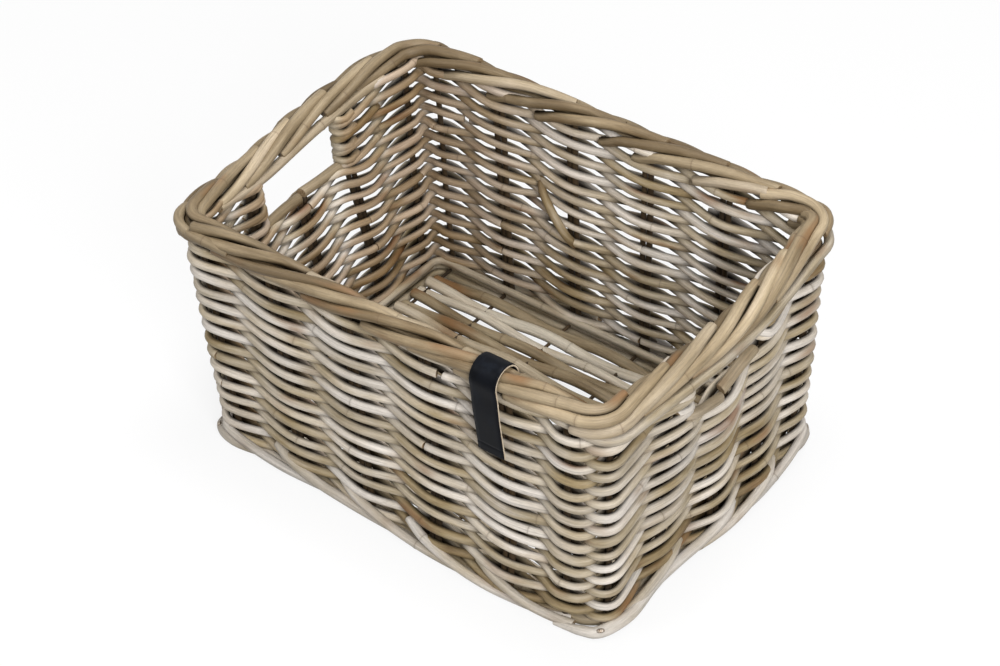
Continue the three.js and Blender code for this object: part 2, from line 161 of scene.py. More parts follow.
# Rods
RING_FIRST = (20, 200)  # distance of the first growth ring from a rod's end
RING_EVERY = (180, 420)  # and between two of them
RING_BULGE = 0.07
SWELL = 0.03  # how much a rod's thickness varies
OVAL = 0.04
END_SLANT = 0.35  # of the sawn ends
LOWER_ROD = (10, 20, 2)  # spans that a rod of a lower row runs: from, below, step
UPPER_ROD = (600, 1100)  # length of a rod beside the handle openings


def smooth(low, high, value):
    """Smooth step from 0 at low to 1 at high."""
    x = np.clip((np.asarray(value, float) - low) / (high - low), 0, 1)
    return x * x * (3 - 2 * x)


# Column numbers where each wall starts, and the middles of the corners
FRONT = 0
RIGHT = FRONT + LONG_SPANS + 1
BACK = RIGHT + SHORT_SPANS + 1
LEFT = BACK + LONG_SPANS + 1
CORNERS = [FRONT - 0.5, RIGHT - 0.5 + CORNER_SLIP, BACK - 0.5, LEFT - 0.5]
NEAR_CORNER = CORNERS[1]

# Each wall's name, first column, spans and outward direction
WALLS = (("front", FRONT, LONG_SPANS, 0, -1), ("right", RIGHT, SHORT_SPANS, 1, 0),
         ("back", BACK, LONG_SPANS, 0, 1), ("left", LEFT, SHORT_SPANS, -1, 0))


def handle_lean(t, z, start, shift):
    """How far along its wall a column beside a handle opening is pushed, 0 at the corners."""
    u = t - start
    spread = np.clip(np.minimum(u, SHORT_SPANS - u), 0, 1)
    narrow = HANDLE_NARROW * np.clip(SHORT_SPANS / 2 - u, -1, 1) * smooth(120, 180, z)
    return spread * (shift * smooth(20, 150, z) + narrow)


def bow(t, z, start):
    """How much of the handle's bow a point of a short wall takes, 0 at the corners and foot."""
    middle = np.sin(math.pi * np.clip((t - start) / SHORT_SPANS, 0, 1)) ** 1.2
    return middle * smooth(30, 195, z)


def uneven(t, z):
    """How far the hand-made walls stand out along X and Y from an even basket."""
    under = 1 - smooth(195, 228, z)
    u = (t - FRONT + 0.5 + COLUMNS / 2) % COLUMNS - COLUMNS / 2
    x = -LEFT_CORNER_OUT * np.cos(math.pi / 2 * np.clip(u / 1.3, -1, 1)) ** 2 * under
    u = t - RIGHT
    x = x + RIGHT_CORNER_OUT * smooth(3.0, 4.2, u) * (1 - smooth(4.8, 6.2, u)) * under
    x = x + RIGHT_FOOT_OUT * smooth(1.0, 2.3, u) * (1 - smooth(2.9, 4.3, u)) * (1 - smooth(15, 110, z))
    u = t - FRONT
    y = smooth(1.5, 3.6, u) * (1 - smooth(4.2, 5.4, u)) * (1 - smooth(10, 70, z))
    return x, -FRONT_FOOT_OUT * y


def wall(t, z, n=0.0):
    """Points at column count t, height z and distance n outside the wall's mid-plane."""
    t = np.asarray(t, float) % COLUMNS
    t = t - CORNER_SLIP * np.clip(2 - 2 * np.abs(t - RIGHT + 0.5), 0, 1)
    t, z, n = np.broadcast_arrays(t, z, n)
    rise = z / RIM_LEVEL
    half_x = FOOT_HALF[0] + (RIM_HALF[0] - FOOT_HALF[0]) * rise
    half_y = FOOT_HALF[1] + (RIM_HALF[1] - FOOT_HALF[1]) * rise
    run_x, run_y = half_x - CORNER, half_y - CORNER
    x, y, nx, ny, sag = np.zeros((5,) + z.shape)
    for name, start, spans, out_x, out_y in WALLS:
        on = (t >= start) & (t <= start + spans)
        along = 2 * (t - start) / spans - 1
        if out_y:
            along = along * (1 + COLUMN_SPREAD * (1 - along ** 6))
            here_x, here_y = -out_y * along * run_x, out_y * half_y
        else:
            shift = handle_lean(t, z, start, HANDLE_SHIFT[name])
            part = bow(t, z, start)
            sag = np.where(on, HANDLE_SAG * part, sag)
            here_x, here_y = out_x * (half_x + HANDLE_BOW * part), out_x * (along * run_y + shift)
        x, y = np.where(on, here_x, x), np.where(on, here_y, y)
        nx, ny = np.where(on, out_x, nx), np.where(on, out_y, ny)
        turn = (t > start + spans) & (t < start + spans + 1)
        angle = math.atan2(out_y, out_x) + (t - start - spans) * math.pi / 2
        x = np.where(turn, np.sign(out_x - out_y) * run_x + CORNER * np.cos(angle), x)
        y = np.where(turn, np.sign(out_x + out_y) * run_y + CORNER * np.sin(angle), y)
        nx, ny = np.where(turn, np.cos(angle), nx), np.where(turn, np.sin(angle), ny)
    out_x, out_y = uneven(t, z)
    return np.stack([x + out_x + nx * n, y + out_y + ny * n, z - sag], axis=-1)


def off_wall(points):
    """Distance of some points outside the wall's mid-plane, less than 0 inside the basket."""
    rise = points[:, 2] / RIM_LEVEL
    half = FOOT_HALF + (RIM_HALF - FOOT_HALF) * rise[:, None]
    over = np.abs(points[:, :2]) - half + CORNER
    return np.minimum(over.max(axis=1), 0) + np.linalg.norm(np.maximum(over, 0), axis=1) - CORNER


def unit(vectors):
    """Some directions, each made one unit long."""
    return vectors / np.linalg.norm(vectors, axis=-1, keepdims=True)


def distances(path):
    """How far along a path each of its points lies."""
    return np.concatenate([[0], np.cumsum(np.linalg.norm(np.diff(path, axis=0), axis=1))])


def points_at(stops, place, path):
    """Points at some distances along a path, whose own points lie at the distances in place."""
    return np.stack([np.interp(stops, place, path[:, i]) for i in range(3)], axis=1)


def tube_faces(first, loops, sides):
    """Faces of a closed tube of point loops, counted from first: its sides and then its two ends."""
    faces = []
    end = first + (loops - 1) * sides
    for base in range(first, end, sides):
        for i in range(sides):
            j = (i + 1) % sides
            faces.append((base + i, base + j, base + sides + j, base + sides + i))
    faces.append(tuple(first + i for i in reversed(range(sides))))
    faces.append(tuple(end + i for i in range(sides)))
    return faces


def curve(knots, step=2.0):
    """A smooth path through some points (a Catmull-Rom curve), with a point about every step."""
    knots = np.asarray(knots, float)
    padded = np.vstack([2 * knots[0] - knots[1], knots, 2 * knots[-1] - knots[-2]])
    path = []
    for a, b, c, d in zip(padded, padded[1:], padded[2:], padded[3:]):
        pieces = max(2, int(np.linalg.norm(c - b) / step))
        for u in np.arange(pieces) / pieces:
            path.append(0.5 * (2 * b + (c - a) * u + (2 * a - 5 * b + 4 * c - d) * u ** 2
                               + (3 * b - a - 3 * c + d) * u ** 3))
    path.append(knots[-1])
    return np.array(path)


class Bundle:
    """Rods gathered in one mesh, with what their material needs stored on the mesh.

    grain is the place on the straightened rod, cane holds the rod's own tone, stain and
    lightness, ring marks its growth rings and cut its sawn ends. Painted shade is stored too: near
    black on the sides that face the middle of the wall or border or the ground, and dark brown on
    the sides that face into the basket (inner), most on the left wall.
    """

    def __init__(self, seed):
        self.random = random.Random(seed)
        self.points, self.deep, self.faces = [], [], []
        self.grain, self.cane, self.ring, self.cut = [], [], [], []
        self.count = 0

    def rod(self, path, radius, tone=0.4, spread=0.25, sides=10, thick=1.0, step=3.4, up=(0, 0, 1),
            taper=1.0, rings=True):
        """Sweep a rod along a path. thick squashes it towards up.

        taper is the far end's share of the radius, or (place, share) pairs along the rod.
        A path of six columns holds points and, for each, the middle that the rod lies around.
        """
        pick = self.random
        path, middles = path[:, :3], path[:, 3:]
        place = distances(path)
        total = place[-1]
        marks = []
        at = pick.uniform(*RING_FIRST)
        while rings and at < total - 12:
            marks.append(at)
            at += pick.uniform(*RING_EVERY)
        stops = list(np.linspace(0, total, max(3, int(total / step) + 1)))
        for mark in marks:
            stops = [s for s in stops if abs(s - mark) > 2.6]
            stops += [mark - 2.2, mark - 0.7, mark, mark + 0.7, mark + 2.2]
        stops = np.array(sorted(stops))
        centre = points_at(stops, place, path)
        along = unit(np.gradient(centre, axis=0))
        side = unit(np.cross(along, np.array(up, float)))
        over = np.cross(side, along)
        swell = SWELL * np.sin(stops / pick.uniform(25, 50) + pick.uniform(0, 6))
        shares = [(0, 1), (1, taper)] if isinstance(taper, (int, float)) else taper
        size = radius * (1 + swell) * np.interp(stops / total, *zip(*shares))
        ring = np.zeros(len(stops))
        for mark in marks:
            size *= 1 + RING_BULGE * np.exp(-((stops - mark) / 1.8) ** 2)
            ring = np.maximum(ring, np.exp(-((stops - mark) / 0.6) ** 2))
        # inward points from the rod to its middle; the sides that face it get painted shade.
        inward = np.zeros_like(centre)
        if middles.size:
            inward = points_at(stops, place, middles) - centre
            inward /= np.maximum(np.linalg.norm(inward, axis=1, keepdims=True), WEAVE_DEPTH)
        angles = np.arange(sides) * 2 * math.pi / sides
        oval = 1 + OVAL * np.cos(2 * angles + pick.uniform(0, 6))
        wide = np.cos(angles) * oval
        high = np.sin(angles) * oval
        offset = pick.uniform(0, 4000)

        def add_ring(index, scale, push, slant):
            shift = push + slant * wide * size[index] * scale
            round_rod = side[index] * wide[:, None] + over[index] * high[:, None] * thick
            self.points.append(centre[index] + round_rod * size[index] * scale
                               + along[index] * shift[:, None])
            # Painted shade: near black on the sides that face the middle, and about a sixth of it on
            # every side of a rod that has no middle.
            self.deep.append(smooth(-0.2, 0.55, round_rod @ inward[index]))
            self.grain.append(np.stack([np.full(sides, offset + stops[index]),
                                        wide * size[index] * scale,
                                        high * size[index] * scale], axis=1))
            self.ring.append(np.full(sides, ring[index]))

        last = len(stops) - 1
        slants = [pick.uniform(-END_SLANT, END_SLANT) for _ in range(2)]
        add_ring(0, 0.9, -0.12 * size[0], slants[0])
        for index in range(len(stops)):
            near = min(index, last - index) * step
            slant = slants[0 if index < last / 2 else 1] * max(0.0, 1 - near / 8)
            add_ring(index, 1.0, 0.0, slant)
        add_ring(last, 0.9, 0.12 * size[last], slants[1])
        loops = len(stops) + 2
        self.faces += tube_faces(self.count, loops, sides)
        self.cut += [0.0] * ((loops - 1) * sides) + [1.0, 1.0]
        own = (min(1, max(0, pick.gauss(tone, spread))), pick.random(), pick.random())
        self.cane.append(np.tile(own, (loops * sides, 1)))
        self.count += loops * sides

    def inner(self):
        """How much painted shade, dark and brown, each point takes on the inside of the basket, most on
        the left wall.
        """
        points = np.concatenate(self.points)
        left = smooth(-40, 195, -points[:, 0])
        return (1 - smooth(-4, 1, off_wall(points))) * (0.08 + 0.92 * left)

    def piece(self, name, material, slot, replaces):
        """Turn the rods into one named piece of the basket."""
        stored = (("grain", self.grain), ("cane", self.cane), ("ring", self.ring), ("deep", self.deep))
        values = [(label, "POINT", np.concatenate(rows)) for label, rows in stored]
        values += [("inner", "POINT", self.inner()), ("cut", "FACE", self.cut)]
        add_piece(name, np.concatenate(self.points), self.faces, self.cut, material, replaces,
                  values)


def add_piece(name, points, faces, flat, material, replaces, attributes=()):
    """Put a mesh in the scene as a piece that stands for some nodes of the frame.

    flat is 1 for each face that isn't shaded smoothly. attributes are what the material reads: a
    label, what the values belong to, and the values.
    """
    mesh = bpy.data.meshes.new(name)
    mesh.from_pydata((np.asarray(points) * MM).tolist(), [], faces)
    for label, domain, values in attributes:
        kind, field = ("FLOAT_VECTOR", "vector") if np.ndim(values) == 2 else ("FLOAT", "value")
        store = mesh.attributes.new(label, kind, domain)
        store.data.foreach_set(field, np.asarray(values, np.float32).ravel())
    mesh.polygons.foreach_set("use_smooth", [value < 0.5 for value in flat])
    mesh.materials.append(material)
    piece = bpy.data.objects.new(name, mesh)
    bpy.context.scene.collection.objects.link(piece)
    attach(piece, "root")
    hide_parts(*replaces)


# Materials

class Shader:
    """A small helper to write the nodes of a material or a world line by line."""

    def __init__(self, owner):
        owner.use_nodes = True
        self.owner = owner
        self.tree = owner.node_tree
        self.tree.nodes.clear()

    def node(self, kind, inputs=(), **settings):
        made = self.tree.nodes.new("ShaderNode" + kind)
        for key, value in settings.items():
            setattr(made, key, value)
        for key, value in dict(inputs).items():
            if isinstance(value, bpy.types.NodeSocket):
                self.tree.links.new(value, made.inputs[key])
            else:
                made.inputs[key].default_value = value
        return made

    def attribute(self, name, output="Fac"):
        return self.node("Attribute", attribute_name=name).outputs[output]

    def math(self, operation, a, b=0.0, c=0.0, clamp=False):
        return self.node("Math", {0: a, 1: b, 2: c}, operation=operation, use_clamp=clamp).outputs[0]

    def noise(self, vector, scale, detail=3.0, roughness=0.55):
        scaled = self.node("VectorMath", {0: vector, 1: scale}, operation="MULTIPLY").outputs[0]
        made = self.node("TexNoise", {"Vector": scaled, "Scale": 1.0, "Detail": detail,
                                      "Roughness": roughness})
        return made.outputs["Fac"]

    def ramp(self, value, stops):
        made = self.node("ValToRGB", {"Fac": value})
        elements = made.color_ramp.elements
        while len(elements) < len(stops):
            elements.new(0.5)
        for element, (place, colour) in zip(elements, stops):
            element.position = place
            element.color = colour
        return made.outputs["Color"]

    def mix(self, fac, a, b, blend="MIX"):
        made = self.node("Mix", {0: fac, 6: a, 7: b}, data_type="RGBA", blend_type=blend,
                         clamp_factor=True)
        return made.outputs[2]

    def multiply(self, a, b):
        return self.mix(1.0, a, b, "MULTIPLY")

    def seen(self):
        """1 on rays from the camera, a mirror or glass, 0 on the rays that carry light."""
        path = self.node("LightPath")
        total = path.outputs["Is Camera Ray"]
        for name in ("Is Glossy Ray", "Is Transmission Ray"):
            total = self.math("MAXIMUM", total, path.outputs[name])
        return total

    def finish(self, **inputs):
        shader = self.node("BsdfPrincipled", {k.replace("_", " "): v for k, v in inputs.items()})
        self.node("OutputMaterial", {"Surface": shader.outputs[0]})
        return self.owner


def colour(red, green, blue):
    """A colour from its 0 to 255 display values."""
    return tuple((c / 255 / 12.92) if c <= 10 else ((c / 255 + 0.055) / 1.055) ** 2.4
                 for c in (red, green, blue)) + (1.0,)


def grey(value):
    """A neutral colour, or a factor for the three colours alike."""
    return (value, value, value, 1.0)


def cane_material(name, tones, stain, rough=0.56, inside=None):
    """Weathered rattan: tones from pale to brown, streaks along the grain, stains and rings, with
    painted shade on the sides hidden in the weave.

    inside is the factor of painted shade that darkens and browns the sides that face into the basket.
    """
    s = Shader(bpy.data.materials.new(name))
    grain = s.attribute("grain", "Vector")
    own = s.node("SeparateXYZ", {0: s.attribute("cane", "Vector")})
    deep = s.attribute("deep")
    place = s.node("TexCoord").outputs["Object"]
    mottle = s.noise(grain, (0.016, 0.09, 0.09), 4.0, 0.6)
    streak = s.noise(grain, (0.02, 0.7, 0.7), 5.0, 0.65)
    fine = s.noise(grain, (0.25, 2.6, 2.6), 3.0, 0.6)
    patch = s.noise(grain, (0.010, 0.05, 0.05), 2.0, 0.5)
    region = s.noise(place, (16, 16, 16), 2.0, 0.5)
    shade = s.math("ADD", own.outputs[0], s.math("MULTIPLY_ADD", mottle, 1.1, -0.55))
    shade = s.math("ADD", shade, s.math("MULTIPLY_ADD", region, 0.9, -0.45), clamp=True)
    base = s.ramp(shade, [(i / (len(tones) - 1), colour(*c)) for i, c in enumerate(tones)])
    base = s.multiply(base, s.ramp(streak, [(0.25, grey(0.6)), (0.5, grey(0.95)), (0.75, grey(1.12))]))
    base = s.multiply(base, s.ramp(fine, [(0.25, grey(0.8)), (0.6, grey(1.04))]))
    light = s.math("MULTIPLY_ADD", own.outputs[2], 0.22, 0.9)
    base = s.multiply(base, s.node("CombineColor", {0: light, 1: light, 2: light}).outputs[0])
    stained = s.math("MULTIPLY", s.ramp(patch, [(0.56, grey(0)), (0.68, grey(1))]),
                     s.ramp(region, [(0.48, grey(0.1)), (0.62, grey(1))]))
    base = s.mix(s.math("MULTIPLY", stained, 0.8), base, colour(*stain))
    base = s.mix(s.math("MULTIPLY", s.attribute("ring"), 0.5), base, colour(78, 58, 38))
    pith = s.ramp(s.noise(grain, (0.5, 1.6, 1.6), 3.0), [(0.3, colour(92, 70, 46)),
                                                        (0.7, colour(176, 152, 118))])
    base = s.mix(s.attribute("cut"), base, pith)
    # Painted shade on the inner walls, darker and browner, most on the left wall.
    if inside:
        base = s.mix(s.attribute("inner"), base, s.multiply(base, inside + (1.0,)))
    # Painted shade: near black on the sides that face the middle of the wall, the border or the floor.
    base = s.mix(s.math("MULTIPLY", deep, 0.96), base, colour(18, 11, 5))
    height = s.math("ADD", s.math("MULTIPLY", streak, 0.7), s.math("MULTIPLY", fine, 0.3))
    bump = s.node("Bump", {"Strength": 0.5, "Distance": 0.5 * MM, "Height": height})
    gloss = s.node("MapRange", {0: streak, 1: 0.3, 2: 0.7, 3: rough + 0.1, 4: rough - 0.08})
    # Less sheen where the painted shade lies.
    return s.finish(Base_Color=base, Roughness=gloss.outputs[0], Normal=bump.outputs[0],
                    Specular_IOR_Level=s.math("MULTIPLY_ADD", deep, -0.33, 0.35))


# The inside factor below is painted shade for the inner walls.
WEAVER_CANE = cane_material("weaver_cane", [(216, 208, 198), (201, 190, 174), (180, 166, 142),
                                            (149, 131, 97), (106, 84, 54)], (120, 80, 42),
                            inside=(0.62, 0.52, 0.42))
# Stake tones are as dark as the stakes look deep in the weave: partly their own colour, partly painted
# shade.
STAKE_CANE = cane_material("stake_cane", [(80, 64, 44), (58, 45, 29), (40, 30, 18)],
                           (50, 35, 20))
RIM_CANE = cane_material("rim_cane", [(186, 170, 147), (164, 147, 120), (138, 121, 94),
                                      (104, 87, 62)], (122, 88, 54), 0.55)
BASE_CANE = cane_material("base_cane", [(202, 192, 174), (182, 168, 146), (154, 138, 110),
                                        (116, 98, 70)], (118, 84, 50))


# Weave

WEAVE_RANDOM = random.Random("weave")
ROW_HEIGHTS = [FIRST_ROW + ROW_PITCH * k + WEAVE_RANDOM.uniform(-0.35, 0.35) for k in range(ROWS)]
COLUMN_JITTER = [[max(-1.8, min(1.8, WEAVE_RANDOM.gauss(0, 0.9))) for c in range(COLUMNS)]
                 for k in range(ROWS)]
COLUMN_DEPTH = [[WEAVE_RANDOM.uniform(-0.3, 0.8) for c in range(COLUMNS)] for k in range(ROWS)]
SILL_ROW = int((SILL_LOW[2] - WEAVER_RADIUS - FIRST_ROW) / ROW_PITCH) + 1


def sway(t, z):
    """How far a row lies above its even height, much as its neighbours do.

    All rows rise and fall slowly, none at the foot and the rim. Those under a sill follow it, and
    those above and below the loose rod's gap part there.
    """
    t = np.asarray(t, float)
    turn = 2 * math.pi * t / COLUMNS
    wave = 1.6 * np.sin(3 * turn + 0.6) + 1.2 * np.sin(7 * turn + 2.1) + 0.8 * np.sin(11 * turn)
    wave = wave * np.sin(math.pi * np.clip(z / RIM_LEVEL, 0, 1))
    u = t % COLUMNS - RIGHT
    under_right = smooth(1.0, 1.5, u) * (1 - smooth(2.0, 2.6, u))
    u = t % COLUMNS - LEFT
    under_left = smooth(0.7, 1.3, u) * (1 - smooth(2.7, 3.3, u))
    under_left = under_left * (1.4 - 0.4 * smooth(1.6, 2.4, u))
    rise = smooth(40, 160, z) * (z < SILL_LEVEL)
    wave = wave + (SILL_LIFT * under_left - SILL_PRESS * under_right) * rise
    u = t % COLUMNS - BACK - LOOSE_COLUMN
    off = (z - LOOSE_LEVEL) / 3
    return wave + LOOSE_GAP * np.exp(-(u / LOOSE_REACH) ** 2 - (off / 6) ** 2) * np.tanh(2 * off)


def weave_row(k, start, stop):
    """A weaver's path in row k between two column counts, in front of and behind the stakes."""
    span = abs(stop - start)
    t = np.linspace(start, stop, max(3, int(span * 24) + 1))
    column = np.rint(t).astype(int)
    near = np.cos(math.pi * (t - column)) ** 2
    jitter = np.take(COLUMN_JITTER[k], column, mode="wrap")
    depth = np.take(COLUMN_DEPTH[k], column, mode="wrap")
    z = ROW_HEIGHTS[k] + sway(t, ROW_HEIGHTS[k]) + jitter * near
    wave = np.cos(math.pi * t) * (-1) ** k
    # The wall's mid-plane goes along with each point; the weaver's sides that face it get painted
    # shade.
    return np.hstack([wall(t, z, (WEAVE_DEPTH + depth * near) * wave), wall(t, z)])


def turn_back(k, column, direction, wrap=False):
    """The half turn from row k to row k + 1 round the pair of stakes beside an opening.

    A wrap is a short rod that fills the place between two such turns, with its ends tucked away.
    """
    side = (-1) ** (k + column)
    low, high = (ROW_HEIGHTS[row] + float(sway(column, ROW_HEIGHTS[row]))
                 + COLUMN_JITTER[row][column % COLUMNS] for row in (k, k + 1))
    here = wall(column, low)
    along = unit(wall(column + 0.02 * direction, low) - here)
    out = wall(column, low, 1.0) - here
    angle = np.linspace(0.1, math.pi - 0.1, 9)[:, None]
    spread = WEAVE_DEPTH + 0.3
    path = here + along * (PAIR_OFFSET + spread * np.sin(angle)) + out * side * spread * np.cos(angle)
    path[:, 2] = np.linspace(wall(column, low)[2], wall(column, high)[2], len(path))
    if wrap:
        path[:, 2] = path[:, 2].mean() + (path[:, 2] - path[:, 2].mean()) * 0.3
        tails = [path[i] - along * 11 - out * side * way * 2.5 for i, way in ((0, 1), (-1, -1))]
        path = np.vstack([tails[:1], path, tails[1:]])
    # The middle of the stake pair: the turn's sides that face it get painted shade.
    middle = np.tile(here + along * PAIR_OFFSET, (len(path), 1))
    middle[:, 2] = path[:, 2]
    return np.hstack([path, middle])


def lower_weave():
    """The rows that run right round the basket, each of two or three rods, and one loose rod."""
    bundle = Bundle("lower weavers")
    pick = bundle.random
    for k in range(SILL_ROW):
        tone = min(0.62, max(0.2, pick.gauss(0.36, 0.12)))
        start = pick.randrange(COLUMNS)
        if (start + k) % 2 == 0 and pick.random() < 0.75:
            start += 1
        ends = start + COLUMNS - SPLICE
        at = start
        while at < ends - 0.5:
            stop = at + pick.randrange(*LOWER_ROD) - SPLICE
            if ends - stop < 7:
                stop = ends
            bundle.rod(weave_row(k, at, stop), WEAVER_RADIUS * pick.uniform(0.88, 1.08), tone, 0.15,
                       taper=pick.uniform(0.9, 1.06))
            at = stop + SPLICE
    loose = [wall(BACK + LOOSE_COLUMN + t, LOOSE_LEVEL + rise, n) for t, n, rise in LOOSE_ROD]
    bundle.rod(curve(loose), WEAVER_RADIUS, 0.75, 0.05)
    bundle.piece("weavers_lower", WEAVER_CANE, "weaver_rattan",
                 ("front_weave", "back_weave", "left_weave_lower", "right_weave_lower"))


def upper_weave(name, first, last, nodes):
    """The rows beside the handle openings: weavers that turn back at each opening, and wraps."""
    bundle = Bundle(name)
    pick = bundle.random
    path = []
    ends = ((first, -1), (last, 1))
    for k in range(SILL_ROW, ROWS):
        (start, behind), (stop, ahead) = ends
        ends = ends[::-1]
        path.append(weave_row(k, start, stop))
        if k < ROWS - 1:
            path.append(turn_back(k, stop, ahead))
            wrap = curve(turn_back(k, start, behind, True))
            bundle.rod(wrap, WEAVER_RADIUS * pick.uniform(0.9, 1.0), pick.gauss(0.4, 0.1), rings=False)
    path = np.vstack(path)
    place = distances(path[:, :3])
    at = 0.0
    while at < place[-1] - 60:
        stop = min(place[-1], at + pick.uniform(*UPPER_ROD))
        if place[-1] - stop < 250:
            stop = place[-1]
        inside = (place >= at) & (place <= stop - 2)
        bundle.rod(path[inside], WEAVER_RADIUS * pick.uniform(0.9, 1.08), pick.gauss(0.36, 0.1),
                   taper=pick.uniform(0.92, 1.04))
        at = stop
    bundle.piece(name, WEAVER_CANE, "weaver_rattan", nodes)


def upper_nodes(side):
    """The nodes of the upper weave on the front (-1) or the back (1) of the handle openings."""
    names = [f"{end}_weave_upper_{i}" for end in ("left", "right") for i in (1, 2)]
    return [name for name in names if sum(corner[1] for corner in node_box(name)) * side > 0]


lower_weave()
upper_weave("weavers_upper_front", LEFT + 3, COLUMNS + RIGHT + 1, upper_nodes(-1))
upper_weave("weavers_upper_back", RIGHT + 3, LEFT + 1, upper_nodes(1))


# Stakes

def stake_wall(side, start, spans):
    """The paired stakes of one wall and its two corner stakes."""
    bundle = Bundle(side + "_stakes")
    pick = bundle.random
    for c in range(spans + 1):
        for offset in ((0.0,) if c in (0, spans) else (-PAIR_OFFSET, PAIR_OFFSET)):
            top = RIM_LEVEL + pick.uniform(-3, 1)
            if side in SILL_STAKE_DROP and c == spans // 2:
                top = SILL_LEVEL - SILL_STAKE_DROP[side]
            heights = np.linspace(STAKE_FOOT, top, 24)
            along = unit(wall(start + c + 0.05, heights) - wall(start + c - 0.05, heights))
            wobble = 0.5 * np.sin(heights / pick.uniform(20, 40) + pick.uniform(0, 6))
            path = wall(start + c, heights) + along * (offset + wobble)[:, None]
            across = wall(start + c, RIM_LEVEL / 2, 1.0) - wall(start + c, RIM_LEVEL / 2)
            bundle.rod(path, STAKE_RADIUS * pick.uniform(0.92, 1.05), 0.5, sides=8, step=6,
                       up=across)
    nodes = [f"{side}_stake_{i + 1}" for i in range(spans - 1)]
    nodes += [f"{side}_corner_stake_{i + 1}" for i in range(2)]
    bundle.piece(side + "_stakes", STAKE_CANE, "stake_rattan", nodes)


for wall_name, first_column, span_count, *_ in WALLS:
    stake_wall(wall_name, first_column, span_count)


# Rim border

RIM_STEPS = np.linspace(0, COLUMNS, 1601)
RIM_LINE = wall(RIM_STEPS[:-1], RIM_LEVEL)
RIM_PLACE = distances(np.vstack([RIM_LINE, RIM_LINE[:1]]))
RIM_LENGTH = RIM_PLACE[-1]
RIM_SPACING = RIM_LENGTH / RIM_STRANDS
RIM_RATE = 360 / RIM_ROUND / RIM_SPACING  # degrees that a strand turns round the border per millimetre


def rim_column(place):
    """Column count at a distance walked along the rim."""
    turns = np.floor(np.asarray(place) / RIM_LENGTH)
    return np.interp(place - turns * RIM_LENGTH, RIM_PLACE, RIM_STEPS) + turns * COLUMNS


def shortness(t):
    """1 on the short walls and 0 on the long ones, blended round the corners."""
    t = np.asarray(t, float) % COLUMNS
    value = np.zeros_like(t)
    for start in (RIGHT, LEFT):
        before_end = 1 - smooth(0, 1, t - start - SHORT_SPANS)
        value = np.maximum(value, smooth(start - 1, start, t) * before_end)
    return value


def at_rim(t, n, z):
    """Points along the rim, at distance n outside the wall's mid-plane and height z."""
    u = np.asarray(t) % COLUMNS - LEFT
    stand = LEFT_RIM_OUT * smooth(-0.4, 0.6, u) * (1 - smooth(1.1, 3.0, u))
    points = wall(t, RIM_LEVEL, n + stand)
    points[:, 2] += z - RIM_LEVEL + stand
    return points


def rim_size(key, short):
    """A size of the border where the given share of it is that of the short walls."""
    return LONG_RIM[key] + (SHORT_RIM[key] - LONG_RIM[key]) * short


def rolled_strands(bundle):
    """Strands that cross the top of the border. Gives start and last angle of those that end there."""
    pick = bundle.random
    tops = []
    for strand in range(RIM_STRANDS):
        near = rim_column(strand * RIM_SPACING) < BACK - 1
        first = pick.uniform(*(NEAR_START if near else FAR_START))
        last = pick.uniform(*(NEAR_END if near else FAR_END))
        share = np.linspace(0, 1, 90)
        swing = first + (last - first) * share
        start = (strand + pick.uniform(-0.16, 0.16)) * RIM_SPACING
        place = start + swing / RIM_RATE
        if near:
            tops.append((start, last))
        t = rim_column(place)
        short = shortness(t)
        angle = np.radians(swing + 8 * np.sin(place / 33 + pick.uniform(0, 6)))
        inside = smooth(50, 150, swing)
        turn = rim_size("turn", short) * (1 - inside) + rim_size("inner", short) * inside
        turn = turn + 0.9 * np.sin(place / 31 + pick.uniform(0, 6))
        n = rim_size("out", short) + turn * np.cos(angle)
        z = RIM_CENTRE + turn * np.sin(angle) - RIM_DROP * smooth(0.8, 1.0, share) * (1 - short)
        rod = rim_size("rod", float(short.mean())) * pick.uniform(0.9, 1.06)
        # Strands over the right wall take a paler tone than the rest: painted light on the right side
        # of the border.
        tone = 0.36 if RIGHT - 0.5 < t.mean() % COLUMNS < BACK - 0.5 else 0.68
        # The border's middle: the strands' sides that face it get painted shade.
        middle = at_rim(t, rim_size("out", short), RIM_CENTRE)
        bundle.rod(np.hstack([at_rim(t, n, z), middle]), rod, tone, 0.26, sides=12,
                   taper=pick.uniform(0.88, 1.0))
    return tops


def inner_strands(bundle, tops):
    """Strands that go on inside from where others end on top."""
    for start, top in tops:
        swing = np.linspace(top - 5, bundle.random.uniform(*INNER_END), 50)
        t = rim_column(start + swing / RIM_RATE)
        short = shortness(t)
        turn = rim_size("inner", short) - 2.5 * (1 - smooth(0, 30, swing - top))
        angle = np.radians(swing)
        z = RIM_CENTRE + turn * np.sin(angle) - RIM_DROP * smooth(175, 215, swing) * (1 - short)
        bundle.rod(at_rim(t, rim_size("out", short) + turn * np.cos(angle), z),
                   0.95 * rim_size("rod", float(short.mean())), 0.6, 0.2, sides=12)


def bowed_rods(bundle):
    """Short rods that bow up and out along the outside of the back and the left border."""
    pick = bundle.random
    at = BACK - 0.9
    while at < COLUMNS - 0.2:
        stop = at + pick.uniform(0.7, 0.95)
        t = np.linspace(at, stop, 40)
        arch = 2.5 * np.sin(np.linspace(0, math.pi, 40))
        n = rim_size("out", shortness(t)) + 6.0 + arch
        bundle.rod(at_rim(t, n, RIM_CENTRE + 0.5 + arch), BOWED_ROD * pick.uniform(0.92, 1.05), 0.8,
                   sides=12)
        at = stop - 0.14


